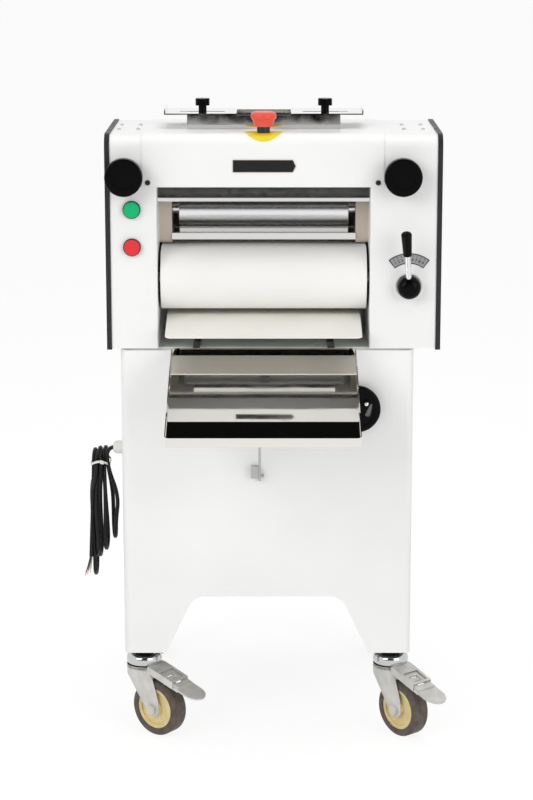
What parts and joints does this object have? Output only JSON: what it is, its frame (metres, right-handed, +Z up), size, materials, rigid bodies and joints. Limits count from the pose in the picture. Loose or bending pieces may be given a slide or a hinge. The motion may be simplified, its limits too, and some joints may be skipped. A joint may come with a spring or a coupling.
{
  "type": "dough moulder",
  "caption": "Floor-standing dough moulder: roller head with belt and press board on a white stand with casters, infeed chute on top and sloping outlet tray.",
  "frame": {"origin": "on the floor under the middle of the machine", "axes": "+Z up, the outlet and the controls face -Y, +X to the operator's right"},
  "size_m": [0.6379, 0.8566, 1.1226],
  "materials": {
    "white_paint": "satin",
    "base_grey": "satin",
    "black_trim": "satin",
    "stainless": "brushed",
    "polished_steel": "polished",
    "chrome": "polished",
    "machine_steel": "turned",
    "belt": "matte",
    "cream_board": "matte",
    "black_plastic": "glossy",
    "zinc": "plated",
    "dark_steel": "satin",
    "tyre": "matte",
    "core": "satin",
    "green": "glossy",
    "red": "glossy",
    "cord": "satin",
    "white_plastic": "satin"
  },
  "bodies": {
    "machine": {"stand_front_panel": "white_paint", "stand_panels": "white_paint", "head_base": "base_grey", "left_column": "white_paint", "right_column": "white_paint", "side_covers": "white_paint", "side_trims": "black_trim", "hood": "white_paint", "rear_cover": "white_paint", "roller_blocks": "stainless", "roller_guards": "polished_steel", "infeed_chute": "polished_steel", "switch_bodies": "black_plastic", "belt": "belt", "rear_guide": "polished_steel", "caster_stems": "dark_steel", "rear_caster_forks": "zinc", "tray_stay": "machine_steel", "cord_gland": "white_plastic", "power_cord": "cord", "motor": "base_grey", "motor_shelf": "zinc", "drive_belt": "black_trim"},
    "left_caster": {"left_caster_fork": "zinc"},
    "right_caster": {"right_caster_fork": "zinc"},
    "left_pedal": {"left_brake_pedal": "zinc"},
    "right_pedal": {"right_brake_pedal": "zinc"},
    "front_left_wheel": {"front_left_hub": "core", "front_left_tyre": "tyre"},
    "front_right_wheel": {"front_right_hub": "core", "front_right_tyre": "tyre"},
    "rear_left_wheel": {"rear_left_hub": "core", "rear_left_tyre": "tyre"},
    "rear_right_wheel": {"rear_right_hub": "core", "rear_right_tyre": "tyre"},
    "upper_front": {"upper_front_roller": "chrome"},
    "upper_rear": {"upper_rear_roller": "chrome"},
    "lower_front": {"lower_front_roller": "chrome"},
    "lower_rear": {"lower_rear_roller": "chrome"},
    "upper_gap": {"upper_slides": "machine_steel"},
    "lower_gap": {"lower_slides": "machine_steel"},
    "left_knob": {"left_gap_knob": "black_plastic"},
    "right_knob": {"right_gap_knob": "black_plastic"},
    "lever": {"lever_hub": "black_plastic", "lever_rod": "chrome", "lever_grip": "black_plastic"},
    "belt_drive_drum": {"front_drum": "machine_steel"},
    "belt_tail_drum": {"rear_drum": "machine_steel"},
    "motor_drive": {"motor_pulley": "machine_steel"},
    "press": {"press_board": "cream_board", "press_lift_frame": "machine_steel"},
    "press_wheel": {"handwheel": "black_plastic"},
    "left_infeed_guide": {"left_guide": "polished_steel"},
    "right_infeed_guide": {"right_guide": "polished_steel"},
    "left_star": {"left_star_knob": "black_plastic"},
    "right_star": {"right_star_knob": "black_plastic"},
    "start": {"start_button": "green"},
    "stop": {"stop_button": "red"},
    "emergency_stop": {"estop_button": "red"},
    "tray": {"tray": "polished_steel"}
  },
  "joints": [
    {"name": "left_caster_swivel", "type": "hinge", "parent": "machine", "child": "left_caster", "pos_m": [-0.237, -0.083, 0.14], "axis": [0, 0, 1], "continuous": true},
    {"name": "front_left_wheel_spin", "type": "hinge", "parent": "left_caster", "child": "front_left_wheel", "pos_m": [-0.20949, -0.10298, 0.05], "axis": [0.5878, 0.809, 0], "continuous": true},
    {"name": "left_brake", "type": "hinge", "parent": "left_caster", "child": "left_pedal", "pos_m": [-0.21758, -0.09711, 0.112], "axis": [0.5878, 0.809, 0], "range_deg": [0, 8]},
    {"name": "rear_left_wheel_spin", "type": "hinge", "parent": "machine", "child": "rear_left_wheel", "pos_m": [-0.237, 0.341, 0.05], "axis": [1, 0, 0], "continuous": true},
    {"name": "right_caster_swivel", "type": "hinge", "parent": "machine", "child": "right_caster", "pos_m": [0.203, -0.083, 0.14], "axis": [0, 0, 1], "continuous": true},
    {"name": "front_right_wheel_spin", "type": "hinge", "parent": "right_caster", "child": "front_right_wheel", "pos_m": [0.22531, -0.10866, 0.05], "axis": [0.7547, 0.6561, 0], "continuous": true},
    {"name": "right_brake", "type": "hinge", "parent": "right_caster", "child": "right_pedal", "pos_m": [0.21874, -0.10111, 0.112], "axis": [0.7547, 0.6561, 0], "range_deg": [0, 8]},
    {"name": "rear_right_wheel_spin", "type": "hinge", "parent": "machine", "child": "rear_right_wheel", "pos_m": [0.203, 0.341, 0.05], "axis": [1, 0, 0], "continuous": true},
    {"name": "lower_front_roller_spin", "type": "hinge", "parent": "machine", "child": "lower_front", "pos_m": [-0.023, -0.023, 0.935], "axis": [1, 0, 0], "continuous": true},
    {"name": "upper_front_roller_spin", "type": "hinge", "parent": "machine", "child": "upper_front", "pos_m": [-0.023, -0.023, 1.005], "axis": [1, 0, 0], "continuous": true},
    {"name": "lower_rear_roller_spin", "type": "hinge", "parent": "lower_gap", "child": "lower_rear", "pos_m": [-0.023, 0.045, 0.935], "axis": [1, 0, 0], "continuous": true},
    {"name": "upper_rear_roller_spin", "type": "hinge", "parent": "upper_gap", "child": "upper_rear", "pos_m": [-0.023, 0.049, 1.005], "axis": [1, 0, 0], "continuous": true},
    {"name": "front_drum_spin", "type": "hinge", "parent": "machine", "child": "belt_drive_drum", "pos_m": [-0.023, -0.075, 0.82185], "axis": [1, 0, 0], "continuous": true},
    {"name": "rear_drum_spin", "type": "hinge", "parent": "machine", "child": "belt_tail_drum", "pos_m": [-0.023, 0.315, 0.82185], "axis": [1, 0, 0], "continuous": true},
    {"name": "motor_spin", "type": "hinge", "parent": "machine", "child": "motor_drive", "pos_m": [0.1735, 0, 0.402], "axis": [1, 0, 0], "continuous": true},
    {"name": "upper_gap_slide", "type": "slide", "parent": "machine", "child": "upper_gap", "axis": [0, 1, 0], "range_m": [-0.003, 0.003]},
    {"name": "lower_gap_slide", "type": "slide", "parent": "machine", "child": "lower_gap", "axis": [0, 1, 0], "range_m": [-0.00157, 0.002]},
    {"name": "left_gap_knob_turn", "type": "hinge", "parent": "machine", "child": "left_knob", "pos_m": [-0.257, -0.15, 1.005], "axis": [0, 1, 0], "range_deg": [-650, 650]},
    {"name": "right_gap_knob_turn", "type": "hinge", "parent": "machine", "child": "right_knob", "pos_m": [0.211, -0.15, 1.005], "axis": [0, 1, 0], "range_deg": [-650, 650]},
    {"name": "lever_swing", "type": "hinge", "parent": "machine", "child": "lever", "pos_m": [0.224, -0.15, 0.816], "axis": [0, 1, 0], "range_deg": [-33, 42]},
    {"name": "press_lift", "type": "slide", "parent": "machine", "child": "press", "axis": [0, 0, 1], "range_m": [-0.005, 0.005]},
    {"name": "handwheel_turn", "type": "hinge", "parent": "machine", "child": "press_wheel", "pos_m": [0.137, -0.14, 0.603], "axis": [0, 1, 0], "range_deg": [-145, 145]},
    {"name": "left_guide_slide", "type": "slide", "parent": "machine", "child": "left_infeed_guide", "axis": [1, 0, 0], "range_m": [-0.035, 0.035]},
    {"name": "right_guide_slide", "type": "slide", "parent": "machine", "child": "right_infeed_guide", "axis": [1, 0, 0], "range_m": [-0.035, 0.035]},
    {"name": "left_star_turn", "type": "hinge", "parent": "machine", "child": "left_star", "pos_m": [-0.129, -0.002, 1.11], "axis": [0, 0, 1], "range_deg": [0, 360]},
    {"name": "right_star_turn", "type": "hinge", "parent": "machine", "child": "right_star", "pos_m": [0.083, -0.002, 1.11], "axis": [0, 0, 1], "range_deg": [0, 360]},
    {"name": "start_press", "type": "slide", "parent": "machine", "child": "start", "axis": [0, 1, 0], "range_m": [0, 0.004], "stiffness_N_per_m": 800, "springref_m": -0.001},
    {"name": "stop_press", "type": "slide", "parent": "machine", "child": "stop", "axis": [0, 1, 0], "range_m": [0, 0.004], "stiffness_N_per_m": 800, "springref_m": -0.001},
    {"name": "estop_press", "type": "slide", "parent": "machine", "child": "emergency_stop", "axis": [0, 0, -1], "range_m": [0, 0.005], "stiffness_N_per_m": 1500, "springref_m": -0.002},
    {"name": "tray_slide", "type": "slide", "parent": "machine", "child": "tray", "axis": [0, -1, 0], "range_m": [0, 0.12]}
  ],
  "couplings": [
    {"joint": "upper_front_roller_spin", "follows": "lower_front_roller_spin", "ratio": 1},
    {"joint": "lower_rear_roller_spin", "follows": "lower_front_roller_spin", "ratio": -1},
    {"joint": "upper_rear_roller_spin", "follows": "lower_front_roller_spin", "ratio": -1},
    {"joint": "front_drum_spin", "follows": "lower_front_roller_spin", "ratio": 0.6},
    {"joint": "rear_drum_spin", "follows": "lower_front_roller_spin", "ratio": 0.6},
    {"joint": "motor_spin", "follows": "lower_front_roller_spin", "ratio": 1.008},
    {"joint": "left_gap_knob_turn", "follows": "upper_gap_slide", "rad_per_m": -3590},
    {"joint": "right_gap_knob_turn", "follows": "upper_gap_slide", "rad_per_m": -3590},
    {"joint": "lever_swing", "follows": "lower_gap_slide", "rad_per_m": 366},
    {"joint": "handwheel_turn", "follows": "press_lift", "rad_per_m": 500}
  ]
}
